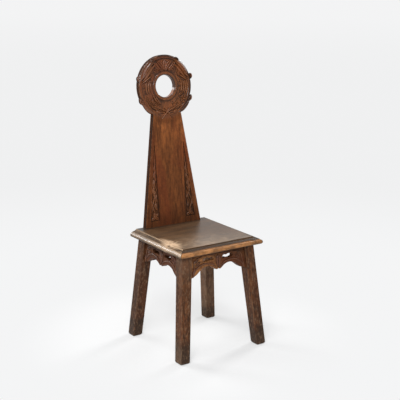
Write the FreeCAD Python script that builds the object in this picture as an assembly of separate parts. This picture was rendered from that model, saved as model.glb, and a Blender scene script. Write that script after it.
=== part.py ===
import FreeCAD, Part
import os
from math import asin, atan, cos, degrees, radians, sin, tan

os.makedirs("parts", exist_ok=True)

# Board-back chair with a ring head. All lengths are millimetres and all angles degrees.
# X runs to the right seen from the front, Y to the back, Z up. The sizes below take Y from the
# middle of the seat's flat field; every piece is moved at the end, so that the origin is the
# middle of the whole chair's footprint.

# Seat board
seat_height = 430.0
seat_thickness = 29.0
seat_flat_width = 325.0
seat_flat_depth = 328.0

# Moulded edge of the seat: a quirk at the flat's arris, a shallow hollow and a round nose
moulding_width = 26.2
quirk_depth = 3.0
quirk_batter = 0.6
hollow_drop = 5.4
hollow_sag = 0.9
nose_radius = 9.3

# Legs, square in section, splayed to the sides and raked to front and back
leg_top_size = 43.0
leg_foot_size = 41.0
leg_side_inset = 25.0
leg_side_splay = 35.5
front_leg_rake = 48.0
back_leg_rake = 23.9
back_leg_setback = 21.0

# Aprons
apron_recess = 9.5
apron_thickness = 20.0
apron_depth = 92.0
front_arch_depth = 55.0
side_arch_depth = 59.5
back_apron_depth = 96.0
tenon_thickness = 8.0
tenon_height = 60.0
tenon_top_gap = 12.0
mortise_clearance = 0.15
mortise_end_gap = 0.6
mortise_wall = 6.0

# Lower edge of a shaped apron: x is a share of the half span, depth a share of the apron's depth
pendant_notch_depth_share = 0.777
pendant_cusp_shares = (0.062, 0.808)
pendant_side_shares = (0.130, 0.750)
arch_peak_share = 0.400
arch_end_shares = (0.660, 0.742)
ogee_middle_shares = (0.810, 0.893)
ogee_end_shares = (1.030, 0.995)

# Pierced opening, from its inner tip round over the top: the same shares, one arc for each
# pair of points
opening_shares = (
    (0.147, 0.386),
    (0.209, 0.255),
    (0.294, 0.275),
    (0.402, 0.228),
    (0.487, 0.258),
    (0.5375, 0.326),
    (0.487, 0.391),
    (0.387, 0.412),
    (0.286, 0.368),
    (0.2166, 0.400),
)

# Back plank, measured up its own front face from the seat's top
plank_lean = 6.5
plank_thickness = 20.0
plank_foot_width = 260.8
plank_neck_width = 129.2
plank_neck_height = 439.2
plank_housing_clearance = 0.2
tail_width = 200.0
tail_depth = 112.0

# Ring head of the plank
ring_centre_height = 546.8
ring_radius = 121.5
hand_hole_radius = 43.4
bead_outer_radius = 58.5
bead_crest_radius = 51.0
bead_hole_drop = 4.0
field_outer_radius = 106.0
field_depth = 4.0
band_crest_radius = 113.5
band_edge_drop = 4.5

# Sunk side panels of the plank
panel_depth = 3.5
panel_bottom = 23.0
panel_top_share = 0.733
panel_bottom_width = 43.05
panel_tip_width = 2.06
panel_bottom_border = 22.4
panel_top_border = 13.6

# Corner blocks
block_reach = 50.0
block_height = 35.0
block_bite = 6.0
block_screw_share = 0.38

# Wood screws
screw_shank_radius = 2.2
screw_head_radius = 4.4
screw_head_height = 2.8
screw_slot_width = 1.0
screw_slot_depth = 1.1
screw_clearance = 0.12
seat_screw_length = 50.0
plank_screw_length = 34.0
plank_screw_half_spacing = 68.0
plank_screw_drops = (50.0, 92.0)

# How far cutting tools run past what they cut
overrun = 10.0

# Places worked out from the sizes
leg_height = seat_height - seat_thickness
tenon_length = leg_top_size - apron_recess - (apron_thickness + tenon_thickness) / 2 - mortise_wall
front_arris_y = -seat_flat_depth / 2
back_edge_y = seat_flat_depth / 2
seat_half_width = seat_flat_width / 2 + moulding_width
leg_top_half_spread = seat_half_width - leg_side_inset
seat_front_y = front_arris_y - moulding_width
back_leg_top_y = back_edge_y - back_leg_setback
plank_front_y = back_edge_y - plank_thickness / cos(radians(plank_lean))
foot_front_y = front_arris_y - front_leg_rake
ring_back_y = (
    plank_front_y
    + (ring_centre_height + ring_radius) * sin(radians(plank_lean))
    + plank_thickness * cos(radians(plank_lean))
)
footprint_middle_y = (foot_front_y + ring_back_y) / 2

side_names = {-1: "left", 1: "right"}


def vector(x, y, z):
    return FreeCAD.Vector(x, y, z)


def line(start, end):
    return Part.LineSegment(start, end).toShape()


def arc(start, middle, end):
    return Part.Arc(start, middle, end).toShape()


def box(low, high):
    """Box between two opposite corners."""
    size = high - low
    return Part.makeBox(size.x, size.y, size.z, low)


def save(name, shape):
    """Moves a finished piece into the chair's frame and writes it."""
    placed = shape.copy()
    placed.translate(vector(0, -footprint_middle_y, 0))
    placed.exportStep("parts/" + name + ".step")


# Seat board


def seat_edge_cutter(length):
    """What the moulding takes off an edge: the arris lies on the X axis, outwards is -Y."""
    nose_top = quirk_depth + hollow_drop
    nose_centre = seat_thickness - nose_radius
    nose_start = moulding_width - nose_radius
    past = moulding_width + overrun
    arris = vector(0, 0, 0)
    quirk = vector(0, -quirk_batter, -quirk_depth)
    hollow_middle = vector(0, -(quirk_batter + nose_start) / 2, -(quirk_depth + nose_top) / 2 - hollow_sag)
    hollow_end = vector(0, -nose_start, -nose_top)
    nose_crest = vector(0, -nose_start, -(nose_centre - nose_radius))
    nose_out = vector(0, -moulding_width, -nose_centre)
    nose_under = vector(0, -nose_start, -seat_thickness)
    edges = [
        line(arris, quirk),
        arc(quirk, hollow_middle, hollow_end),
        line(hollow_end, nose_crest),
        arc(nose_crest, nose_out, nose_under),
        line(nose_under, vector(0, -nose_start, -seat_thickness - overrun)),
        line(vector(0, -nose_start, -seat_thickness - overrun), vector(0, -past, -seat_thickness - overrun)),
        line(vector(0, -past, -seat_thickness - overrun), vector(0, -past, overrun)),
        line(vector(0, -past, overrun), vector(0, 0, overrun)),
        line(vector(0, 0, overrun), arris),
    ]
    cutter = Part.Face(Part.Wire(edges)).extrude(vector(length, 0, 0))
    cutter.translate(vector(-length / 2, 0, 0))
    return cutter


def seat_board(housing, screw_holes):
    low = vector(-seat_half_width, seat_front_y, leg_height)
    high = vector(seat_half_width, back_edge_y, seat_height)
    board = box(low, high)
    cutter_length = 2 * (seat_flat_width + seat_flat_depth)
    front_cutter = seat_edge_cutter(cutter_length)
    front_cutter.translate(vector(0, front_arris_y, seat_height))
    cutters = [front_cutter]
    for side in side_names:
        cutter = seat_edge_cutter(cutter_length)
        cutter.rotate(vector(0, 0, 0), vector(0, 0, 1), 90 * side)
        cutter.translate(vector(side * seat_flat_width / 2, 0, seat_height))
        cutters.append(cutter)
    board = board.cut(cutters)
    return board.cut([housing] + screw_holes)


# Legs


def leg_outer_x(z):
    return leg_top_half_spread + leg_side_splay * (1 - z / leg_height)


def leg_outer_y(end, z):
    """Outer face of a front (-1) or back (1) leg at height z."""
    if end < 0:
        return front_arris_y - front_leg_rake * (1 - z / leg_height)
    return back_leg_top_y + back_leg_rake * (1 - z / leg_height)


def leg_size(z):
    return leg_foot_size + (leg_top_size - leg_foot_size) * z / leg_height


def leg_inner_x(z):
    return leg_outer_x(z) - leg_size(z)


def leg_inner_y(end, z):
    return leg_outer_y(end, z) - end * leg_size(z)


def leg_blank(side, end):
    """The leg before its mortises: square at the floor and at the seat."""
    wires = []
    for z in (0, leg_height):
        x_in = side * leg_inner_x(z)
        x_out = side * leg_outer_x(z)
        y_in = leg_inner_y(end, z)
        y_out = leg_outer_y(end, z)
        corners = [vector(x_in, y_in, z), vector(x_out, y_in, z), vector(x_out, y_out, z), vector(x_in, y_out, z)]
        wires.append(Part.makePolygon(corners + corners[:1]))
    return Part.makeLoft(wires, True, True)


# Shaped aprons: drawn with the outer face in the XZ plane, the top edge on the X axis and the
# thickness running to +Y


def fret_point(half_span, shares):
    return vector(shares[0] * half_span, 0, -shares[1] * apron_depth)


def mirrored(point):
    return vector(-point.x, point.y, point.z)


def fret_edge(half_span, arch_depth):
    """Edges of one half of the lower edge, from the pendant's notch to the leg."""
    notch = fret_point(half_span, (0, pendant_notch_depth_share))
    cusp = fret_point(half_span, pendant_cusp_shares)
    pendant_side = fret_point(half_span, pendant_side_shares)
    arch_peak = vector(arch_peak_share * half_span, 0, -arch_depth)
    arch_end = fret_point(half_span, arch_end_shares)
    ogee_middle = fret_point(half_span, ogee_middle_shares)
    ogee_end = fret_point(half_span, ogee_end_shares)
    return [
        (notch, cusp),
        (cusp, pendant_side),
        (pendant_side, arch_peak, arch_end),
        (arch_end, ogee_middle, ogee_end),
    ]


def drawn(points):
    if len(points) == 2:
        return line(*points)
    return arc(*points)


def apron_opening(half_span, side):
    points = [fret_point(half_span, shares) for shares in opening_shares]
    if side < 0:
        points = [mirrored(point) for point in points]
    points.append(points[0])
    edges = [arc(*points[i : i + 3]) for i in range(0, len(points) - 1, 2)]
    face = Part.Face(Part.Wire(edges))
    face.translate(vector(0, -overrun, 0))
    return face.extrude(vector(0, apron_thickness + 2 * overrun, 0))


def shaped_board(half_span, arch_depth):
    """A fretted board, long enough to run into the legs and above the seat's underside."""
    half_edge = fret_edge(half_span, arch_depth)
    end_low = half_edge[-1][-1]
    end_high = vector(end_low.x, 0, overrun)
    edges = [drawn(points) for points in half_edge]
    edges += [line(end_low, end_high), line(end_high, mirrored(end_high)), line(mirrored(end_high), mirrored(end_low))]
    edges += [drawn([mirrored(p) for p in points]) for points in half_edge]
    outline = Part.Wire(Part.sortEdges(edges)[0])
    board = Part.Face(outline).extrude(vector(0, apron_thickness, 0))
    return board.cut([apron_opening(half_span, -1), apron_opening(half_span, 1)])


def tenon_bar(half_span, clearance, end_gap):
    """One bar as long as the board and its two tenons: what lies in the legs is the tenons."""
    half_length = half_span + tenon_length + end_gap
    middle = apron_thickness / 2
    half_thickness = tenon_thickness / 2 + clearance
    top = -tenon_top_gap + clearance
    bottom = -tenon_top_gap - tenon_height - clearance
    low = vector(-half_length, middle - half_thickness, bottom)
    high = vector(half_length, middle + half_thickness, top)
    return box(low, high)


def tenon_z():
    return leg_height - tenon_top_gap - tenon_height / 2


def apron_foot_z():
    return leg_height - apron_depth


def side_middle_y():
    """Middle between the legs' inner faces, at the foot of the aprons."""
    return (leg_inner_y(-1, apron_foot_z()) + leg_inner_y(1, apron_foot_z())) / 2


def set_front(shape):
    """From the drawing position to the front: leaning with the legs' front faces."""
    shape.rotate(vector(0, 0, 0), vector(1, 0, 0), -degrees(atan(front_leg_rake / leg_height)))
    shape.translate(vector(0, front_arris_y + apron_recess, leg_height))
    return shape


def set_side(shape, side):
    """From the drawing position to one side: leaning with the legs' outer faces."""
    shape.rotate(vector(0, 0, 0), vector(1, 0, 0), -degrees(atan(leg_side_splay / leg_height)))
    shape.rotate(vector(0, 0, 0), vector(0, 0, 1), 90 * side)
    shape.translate(vector(side * (leg_top_half_spread - apron_recess), side_middle_y(), leg_height))
    return shape


def above_frame():
    """Everything above the seat's underside."""
    reach = seat_flat_width + seat_flat_depth
    return box(vector(-reach, -reach, leg_height), vector(reach, reach, leg_height + reach))


def fitted_apron(board, bar, legs):
    """Cuts a board's shoulders to the legs and its top to the seat, then adds its tenons."""
    shouldered = board.cut(legs + [above_frame()])
    middle = max(shouldered.Solids, key=lambda solid: solid.Volume)
    tenons = [tenon for leg in legs for tenon in bar.common(leg).Solids]
    return middle.fuse(tenons).removeSplitter()


def front_half_spans():
    return leg_inner_x(apron_foot_z()), leg_inner_x(tenon_z())


def side_half_spans():
    foot = (leg_inner_y(1, apron_foot_z()) - leg_inner_y(-1, apron_foot_z())) / 2
    at_tenon = (leg_inner_y(1, tenon_z()) - leg_inner_y(-1, tenon_z())) / 2
    return foot, at_tenon


def front_apron(legs):
    span, tenon_span = front_half_spans()
    board = set_front(shaped_board(span, front_arch_depth))
    return fitted_apron(board, set_front(tenon_bar(tenon_span, 0, 0)), legs)


def side_apron(side, legs):
    span, tenon_span = side_half_spans()
    board = set_side(shaped_board(span, side_arch_depth), side)
    return fitted_apron(board, set_side(tenon_bar(tenon_span, 0, 0), side), legs)


# Back plank: drawn with its front face in the XZ plane, Z up the face from the seat's top and
# the thickness running to +Y


def set_plank(shape):
    shape.rotate(vector(0, 0, 0), vector(1, 0, 0), -plank_lean)
    shape.translate(vector(0, plank_front_y, seat_height))
    return shape


def plank_slope():
    """How much each side edge comes in for each unit of height."""
    return (plank_foot_width - plank_neck_width) / 2 / plank_neck_height


def plank_half_width(height):
    return plank_foot_width / 2 - plank_slope() * height


def plank_stock(clearance):
    """The tapering board from the tail's end to inside the ring, in its place on the chair."""
    corners = []
    for height in (-tail_depth, ring_centre_height):
        half = plank_half_width(height) + clearance
        ends = [vector(-half, 0, height), vector(half, 0, height)]
        corners += ends if height < 0 else ends[::-1]
    face = Part.Face(Part.makePolygon(corners + corners[:1]))
    return face.extrude(vector(0, plank_thickness, 0))


def plank_housing():
    """What the seat gives up to the plank, open to the rear."""
    housing = plank_stock(plank_housing_clearance)
    rear = plank_stock(plank_housing_clearance)
    rear.translate(vector(0, plank_thickness / 2, 0))
    return set_plank(housing.fuse(rear))


def revolved_cutter(points, start_angle, sweep):
    """Turns a profile of (radius, depth) edges round the ring's axis."""
    edges = [drawn([vector(radius, depth, 0) for radius, depth in edge]) for edge in points]
    cutter = Part.Face(Part.Wire(edges)).revolve(vector(0, 0, 0), vector(0, 1, 0), sweep)
    cutter.rotate(vector(0, 0, 0), vector(0, 1, 0), start_angle)
    cutter.translate(vector(0, 0, ring_centre_height))
    return cutter


# A quarter round's middle point, as a share of its run and of its drop
rise = 1 - cos(radians(45))


def ring_face_cutter():
    """Takes the bead's round, the sunk field and the inner side of the outer band."""
    bead_hole = (hand_hole_radius, bead_hole_drop)
    bead_crest = (bead_crest_radius, 0)
    bead_foot = (bead_outer_radius, field_depth)
    field_edge = (field_outer_radius, field_depth)
    band_crest = (band_crest_radius, 0)
    bead_in = (hand_hole_radius + (bead_crest_radius - hand_hole_radius) * rise, bead_hole_drop * rise)
    bead_out = (bead_outer_radius - (bead_outer_radius - bead_crest_radius) * rise, field_depth * rise)
    band_in = (field_outer_radius + (band_crest_radius - field_outer_radius) * rise, field_depth * rise)
    axis_side = hand_hole_radius - overrun
    edges = [
        (bead_hole, bead_in, bead_crest),
        (bead_crest, bead_out, bead_foot),
        (bead_foot, field_edge),
        (field_edge, band_in, band_crest),
        (band_crest, (band_crest_radius, -overrun)),
        ((band_crest_radius, -overrun), (axis_side, -overrun)),
        ((axis_side, -overrun), (axis_side, bead_hole_drop)),
        ((axis_side, bead_hole_drop), bead_hole),
    ]
    return revolved_cutter(edges, 0, 360)


def ring_edge_cutter():
    """Rounds the outer side of the band, all round except where the ring joins the board."""
    crest = (band_crest_radius, 0)
    edge = (ring_radius, band_edge_drop)
    middle = (ring_radius - (ring_radius - band_crest_radius) * rise, band_edge_drop * rise)
    past = ring_radius + overrun
    edges = [
        (crest, middle, edge),
        (edge, (past, band_edge_drop)),
        ((past, band_edge_drop), (past, -overrun)),
        ((past, -overrun), (band_crest_radius, -overrun)),
        ((band_crest_radius, -overrun), crest),
    ]
    neck_half_angle = degrees(asin(neck_half_width() / ring_radius))
    return revolved_cutter(edges, 90 + neck_half_angle, 360 - 2 * neck_half_angle)


def neck_half_width():
    """Half width of the board where its edges run into the ring."""
    slope = plank_slope()
    at_centre = plank_half_width(ring_centre_height)
    reach = (-slope * at_centre + (ring_radius**2 * (1 + slope**2) - at_centre**2) ** 0.5) / (1 + slope**2)
    return at_centre + slope * reach


def panel_cutter(side):
    """One sunk side panel, a long triangle that follows the board's edge."""
    panel_top = panel_top_share * plank_neck_height
    bottom_outer = plank_half_width(panel_bottom) - panel_bottom_border
    top_outer = plank_half_width(panel_top) - panel_top_border
    corners = [
        vector(side * (bottom_outer - panel_bottom_width), -overrun, panel_bottom),
        vector(side * bottom_outer, -overrun, panel_bottom),
        vector(side * top_outer, -overrun, panel_top),
        vector(side * (top_outer - panel_tip_width), -overrun, panel_top),
    ]
    face = Part.Face(Part.makePolygon(corners + corners[:1]))
    return face.extrude(vector(0, overrun + panel_depth, 0))


def tail_shoulder_cutter(side):
    """Beside the tail, everything below the seat's underside."""
    reach = seat_flat_width + seat_flat_depth
    near = side * tail_width / 2
    far = side * reach
    low = vector(min(near, far), 0, leg_height - reach)
    high = vector(max(near, far), reach, leg_height)
    return box(low, high)


def back_plank(screw_holes):
    ring = Part.makeCylinder(ring_radius, plank_thickness, vector(0, 0, ring_centre_height), vector(0, 1, 0))
    blank = plank_stock(0).fuse(ring).removeSplitter()
    hole_start = vector(0, -overrun, ring_centre_height)
    hand_hole = Part.makeCylinder(hand_hole_radius, plank_thickness + 2 * overrun, hole_start, vector(0, 1, 0))
    cutters = [hand_hole, ring_face_cutter(), ring_edge_cutter(), panel_cutter(-1), panel_cutter(1)]
    for cutter in cutters:
        blank = blank.cut(cutter)
    plank = set_plank(blank)
    plank = plank.cut([tail_shoulder_cutter(-1), tail_shoulder_cutter(1)])
    return plank.cut(screw_holes)


def back_apron(legs, screw_holes):
    """Plain board against the tail's front face, tenoned into the back legs."""
    inner = leg_inner_x(leg_height - back_apron_depth)
    top = overrun
    foot = -seat_thickness - back_apron_depth
    board = set_plank(box(vector(-inner, -apron_thickness, foot), vector(inner, 0, top)))
    return fitted_apron(board, back_tenon_bar(0, 0), legs).cut(screw_holes)


def back_tenon_bar(clearance, end_gap):
    bar = tenon_bar(leg_inner_x(tenon_z()), clearance, end_gap)
    bar.translate(vector(0, -apron_thickness, -seat_thickness))
    return set_plank(bar)


def mortises():
    """Room for every tenon, with its clearance."""
    front_span = front_half_spans()[1]
    side_span = side_half_spans()[1]
    room = (mortise_clearance, mortise_end_gap)
    cutters = [set_front(tenon_bar(front_span, *room)), back_tenon_bar(*room)]
    cutters += [set_side(tenon_bar(side_span, *room), side) for side in side_names]
    return cutters


# Corner blocks


def corner_of_aprons(side, end):
    """Where two aprons' inner faces meet, at the seat's underside."""
    x = side * (leg_top_half_spread - apron_recess - apron_thickness)
    if end < 0:
        return x, front_arris_y + apron_recess + apron_thickness
    drop = seat_thickness * tan(radians(plank_lean))
    return x, plank_front_y - drop - apron_thickness / cos(radians(plank_lean))


def corner_block(side, end, neighbours, screw_hole):
    """A block across the corner, cut to the aprons' faces and round the leg's inner corner."""
    x, y = corner_of_aprons(side, end)
    reach = block_reach + block_bite
    corners = [
        vector(x + side * block_bite, y + end * block_bite, leg_height),
        vector(x - side * reach, y + end * block_bite, leg_height),
        vector(x + side * block_bite, y - end * reach, leg_height),
    ]
    face = Part.Face(Part.makePolygon(corners + corners[:1]))
    block = face.extrude(vector(0, 0, -block_height))
    fitted = block.cut(neighbours)
    kept = max(fitted.Solids, key=lambda solid: solid.Volume)
    return kept.cut(screw_hole)


# Wood screws: drawn with the head's face at the origin and the shank running to +Z


def screw(length):
    head = Part.makeCone(screw_head_radius, screw_shank_radius, screw_head_height)
    shank_length = length - screw_head_height - screw_shank_radius
    shank = Part.makeCylinder(screw_shank_radius, shank_length, vector(0, 0, screw_head_height))
    point = Part.makeCone(screw_shank_radius, 0, screw_shank_radius, vector(0, 0, length - screw_shank_radius))
    slot_half = screw_slot_width / 2
    slot_low = vector(-screw_head_radius - overrun, -slot_half, -overrun)
    slot = box(slot_low, vector(screw_head_radius + overrun, slot_half, screw_slot_depth))
    return head.fuse([shank, point]).removeSplitter().cut(slot)


def screw_hole(length):
    """Clearance hole and countersink for one screw, running past the head's face."""
    head = Part.makeCone(screw_head_radius + screw_clearance, screw_shank_radius + screw_clearance, screw_head_height)
    mouth = Part.makeCylinder(screw_head_radius + screw_clearance, overrun, vector(0, 0, -overrun))
    shank = Part.makeCylinder(screw_shank_radius + screw_clearance, length + screw_clearance)
    return head.fuse([mouth, shank]).removeSplitter()


def set_seat_screw(shape, side, end):
    x, y = corner_of_aprons(side, end)
    inwards = block_reach * block_screw_share
    shape.translate(vector(x - side * inwards, y - end * inwards, leg_height - block_height))
    return shape


def set_plank_screw(shape, side, drop):
    """Turned to run forwards from the tail's rear face, below the seat's top."""
    shape.rotate(vector(0, 0, 0), vector(1, 0, 0), 90)
    shape.translate(vector(side * plank_screw_half_spacing, plank_thickness, -drop))
    return set_plank(shape)


corners_of_chair = [(side, end) for side in side_names for end in (-1, 1)]
plank_screw_places = [(side, drop) for side in side_names for drop in plank_screw_drops]
end_names = {-1: "front", 1: "back"}

seat_screws = [set_seat_screw(screw(seat_screw_length), *place) for place in corners_of_chair]
seat_screw_holes = {place: set_seat_screw(screw_hole(seat_screw_length), *place) for place in corners_of_chair}
plank_screws = [set_plank_screw(screw(plank_screw_length), *place) for place in plank_screw_places]
plank_screw_holes = [set_plank_screw(screw_hole(plank_screw_length), *place) for place in plank_screw_places]

leg_blanks = {place: leg_blank(*place) for place in corners_of_chair}
all_leg_blanks = list(leg_blanks.values())

aprons = {
    "front_apron": front_apron(all_leg_blanks),
    "left_apron": side_apron(-1, all_leg_blanks),
    "right_apron": side_apron(1, all_leg_blanks),
    "back_apron": back_apron(all_leg_blanks, plank_screw_holes),
}
for name, shape in aprons.items():
    save(name, shape)

all_mortises = mortises()
for (side, end), blank in leg_blanks.items():
    save(end_names[end] + "_" + side_names[side] + "_leg", blank.cut(all_mortises))

neighbours = all_leg_blanks + list(aprons.values())
for (side, end), hole in seat_screw_holes.items():
    block = corner_block(side, end, neighbours, hole)
    save("corner_block_" + end_names[end] + "_" + side_names[side], block)

save("seat_board", seat_board(plank_housing(), list(seat_screw_holes.values())))
save("back_plank", back_plank(plank_screw_holes))
save("seat_screws", Part.makeCompound(seat_screws))
save("plank_screws", Part.makeCompound(plank_screws))
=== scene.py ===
import math

import bmesh
import bpy
from mathutils import Matrix, Vector


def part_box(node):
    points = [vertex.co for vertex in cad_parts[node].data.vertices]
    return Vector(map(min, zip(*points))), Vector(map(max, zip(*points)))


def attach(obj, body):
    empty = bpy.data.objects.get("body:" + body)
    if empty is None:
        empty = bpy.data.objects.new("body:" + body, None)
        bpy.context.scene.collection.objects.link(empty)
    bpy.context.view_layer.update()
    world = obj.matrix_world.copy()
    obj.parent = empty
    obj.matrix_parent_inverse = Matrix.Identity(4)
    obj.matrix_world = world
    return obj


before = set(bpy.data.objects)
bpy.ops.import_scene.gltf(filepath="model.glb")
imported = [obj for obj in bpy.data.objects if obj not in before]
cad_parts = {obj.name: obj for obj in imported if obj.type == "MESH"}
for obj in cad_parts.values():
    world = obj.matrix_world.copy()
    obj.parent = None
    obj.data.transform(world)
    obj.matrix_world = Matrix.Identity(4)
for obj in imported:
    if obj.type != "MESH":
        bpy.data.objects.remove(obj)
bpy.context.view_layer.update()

mm = 0.001

# Places read from the frame, in metres
seat_low, seat_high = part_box("seat_board")
front_leg_low, front_leg_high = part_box("front_right_leg")
back_leg_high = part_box("back_right_leg")[1]
side_apron_low, side_apron_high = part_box("left_apron")
seat_top = seat_high.z
seat_under = seat_low.z

# Seat: a flat field, with a moulding on its front and sides that has a hollow and a round nose
moulding_width = 26.2 * mm
nose_radius = 9.3 * mm
nose_start = moulding_width - nose_radius
flat_half_width = seat_high.x - moulding_width
flat_front = seat_low.y + moulding_width
worn_patch = Vector((8.5 * mm - flat_half_width, flat_front + 85.7 * mm))

# Legs, splayed to the sides and raked to front and back
leg_foot_half = 20.5 * mm
leg_top_half = 21.5 * mm
leg_inset = 25 * mm
side_splay = 35.5 * mm
front_rake = 48 * mm
back_rake = 23.9 * mm
side_splay_angle = math.atan(side_splay / seat_under)
front_rake_angle = math.atan(front_rake / seat_under)
between_legs = 50 * mm
worn_arris = 2.2 * mm
worn_sole = 6 * mm

# Aprons: their faces lie a little inside the legs' outer faces
apron_recess = 9.5 * mm
front_apron_y = flat_front + apron_recess
side_apron_x = seat_high.x - leg_inset - apron_recess
side_apron_y = (side_apron_low.y + side_apron_high.y) / 2

# Back board, measured up its own face from the seat's top
plank_lean = math.radians(6.5)
plank_thickness = 20 * mm
plank_foot = Vector((0, seat_high.y - plank_thickness / math.cos(plank_lean), seat_top))
plank_foot_half = 130.4 * mm
plank_neck_half = 64.6 * mm
plank_neck_height = 439.2 * mm
plank_slope = (plank_foot_half - plank_neck_half) / plank_neck_height
panel_depth = 3.5 * mm

# Ring head, measured from its centre: the hand hole, a bead, a sunk field and a round band,
# with a groove on each side of the field
ring_height = 546.8 * mm
hole_radius = 43.4 * mm
bead_radius = 51 * mm
bead_groove_radius = 60.5 * mm
band_groove_radius = 105 * mm
field_radius = 106 * mm
band_radius = 113.5 * mm
ring_radius = 121.5 * mm
field_depth = 4 * mm


def leaning_face(foot, outwards, lean):
    """The frame of a board's face that leans inwards: across it, up it and out of it."""
    outwards = Vector(outwards)
    upwards = Vector((0, 0, 1))
    across = upwards.cross(outwards)
    up = upwards * math.cos(lean) - outwards * math.sin(lean)
    out = outwards * math.cos(lean) + upwards * math.sin(lean)
    face = Matrix((across, up, out)).transposed().to_4x4()
    face.translation = foot
    return face


plank_face = leaning_face(plank_foot, (0, -1, 0), plank_lean)
front_face = leaning_face((0, front_apron_y, seat_under), (0, -1, 0), front_rake_angle)
left_face = leaning_face((-side_apron_x, side_apron_y, seat_under), (-1, 0, 0), side_splay_angle)
right_face = leaning_face((side_apron_x, side_apron_y, seat_under), (1, 0, 0), side_splay_angle)


# Finishes


class Tone:
    """One output in a finish's node tree. Sums of tones add their Math nodes."""

    def __init__(self, finish, socket):
        self.finish = finish
        self.socket = socket

    def output(self, name):
        return Tone(self.finish, self.socket.node.outputs[name])

    def parts(self):
        """The three parts of a place or direction."""
        split = self.finish.node("ShaderNodeSeparateXYZ", {}, {"Vector": self})
        return [split.output(axis) for axis in "XYZ"]

    def maths(self, operation, *terms):
        return self.finish.node("ShaderNodeMath", {"operation": operation}, dict(enumerate(terms)))

    def __add__(self, other):
        return self.maths("ADD", self, other)

    __radd__ = __add__

    def __sub__(self, other):
        return self.maths("SUBTRACT", self, other)

    def __rsub__(self, other):
        return self.maths("SUBTRACT", other, self)

    def __mul__(self, other):
        return self.maths("MULTIPLY", self, other)

    __rmul__ = __mul__

    def __truediv__(self, other):
        return self.maths("DIVIDE", self, other)

    def __pow__(self, other):
        return self.maths("POWER", self, other)

    def size(self):
        return self.maths("ABSOLUTE", self)

    def most(self, other):
        return self.maths("MAXIMUM", self, other)

    def step(self, start, end):
        """0 before start and 1 after end, eased between them."""
        settings = {"interpolation_type": "SMOOTHSTEP"}
        if start > end:
            return 1 - self.step(end, start)
        sockets = {"Value": self, "From Min": start, "From Max": end}
        return self.finish.node("ShaderNodeMapRange", settings, sockets)


class Nodes:
    """The node tree of a material or the world, where every node comes from one method."""

    def __init__(self, owner):
        self.owner = owner
        owner.use_nodes = True
        self.tree = owner.node_tree
        self.tree.nodes.clear()

    def node(self, kind, settings=None, sockets=None):
        """Adds a node: its settings first, then the values or links of its sockets."""
        made = self.tree.nodes.new(kind)
        for key, value in (settings or {}).items():
            setattr(made, key, value)
        for key, value in (sockets or {}).items():
            if isinstance(value, Tone):
                self.tree.links.new(value.socket, made.inputs[key])
            else:
                made.inputs[key].default_value = value
        return Tone(self, made.outputs[0] if made.outputs else None)

    def blend(self, amount, first, second):
        """A colour between two colours: the first at 0 and the second at 1."""
        colours = [tone if isinstance(tone, Tone) else (*tone, 1) for tone in (first, second)]
        sockets = {0: amount, 6: colours[0], 7: colours[1]}
        mixed = self.node("ShaderNodeMix", {"data_type": "RGBA"}, sockets)
        return Tone(self, mixed.socket.node.outputs[2])

    def seen(self):
        """Two masks: for what is seen at all, and for what is seen mirrored in a finish."""
        rays = self.node("ShaderNodeLightPath")
        reflected = rays.output("Is Glossy Ray")
        seen = rays.output("Is Camera Ray").most(reflected).most(rays.output("Is Transmission Ray"))
        return seen, reflected


class Finish(Nodes):
    """A material whose patterns follow the place on the piece."""

    def __init__(self, name):
        super().__init__(bpy.data.materials.new(name))
        self.place = self.node("ShaderNodeTexCoord").output("Object")

    def turned(self, shift=(0, 0, 0), turn=(0, 0, 0), stretch=(1, 1, 1)):
        """The place on the piece, moved, turned and stretched for a pattern."""
        sockets = {"Vector": self.place, "Location": shift, "Rotation": turn}
        moved = self.node("ShaderNodeMapping", {}, sockets)
        return self.node("ShaderNodeVectorMath", {"operation": "MULTIPLY"}, {0: moved, 1: stretch})

    def noise(self, place, scale, detail=2.0, rough=0.5, bend=0.0):
        sockets = {"Vector": place, "Scale": scale, "Detail": detail, "Roughness": rough, "Distortion": bend}
        return self.node("ShaderNodeTexNoise", {}, sockets)

    def along(self, direction, start=(0, 0, 0)):
        """How far the place lies from start in a direction."""
        away = self.node("ShaderNodeVectorMath", {"operation": "SUBTRACT"}, {0: self.place, 1: start})
        dot = self.node("ShaderNodeVectorMath", {"operation": "DOT_PRODUCT"}, {0: away, 1: direction})
        return dot.output("Value")

    def relief(self, height, depth, strength=1.0):
        return self.node("ShaderNodeBump", {}, {"Height": height, "Distance": depth, "Strength": strength})

    def done(self, **sockets):
        named = {key.replace("_", " "): value for key, value in sockets.items()}
        shader = self.node("ShaderNodeBsdfPrincipled", {}, named)
        self.node("ShaderNodeOutputMaterial", {}, {"Surface": shader})
        return self.owner


grain_up = (0, 0, 0)
grain_across = (0, math.radians(90), 0)
grain_back = (math.radians(90), 0, 0)


def nothing(finish):
    return 0.0


def darker(tone, share):
    return tuple(share * part for part in tone)


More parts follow.
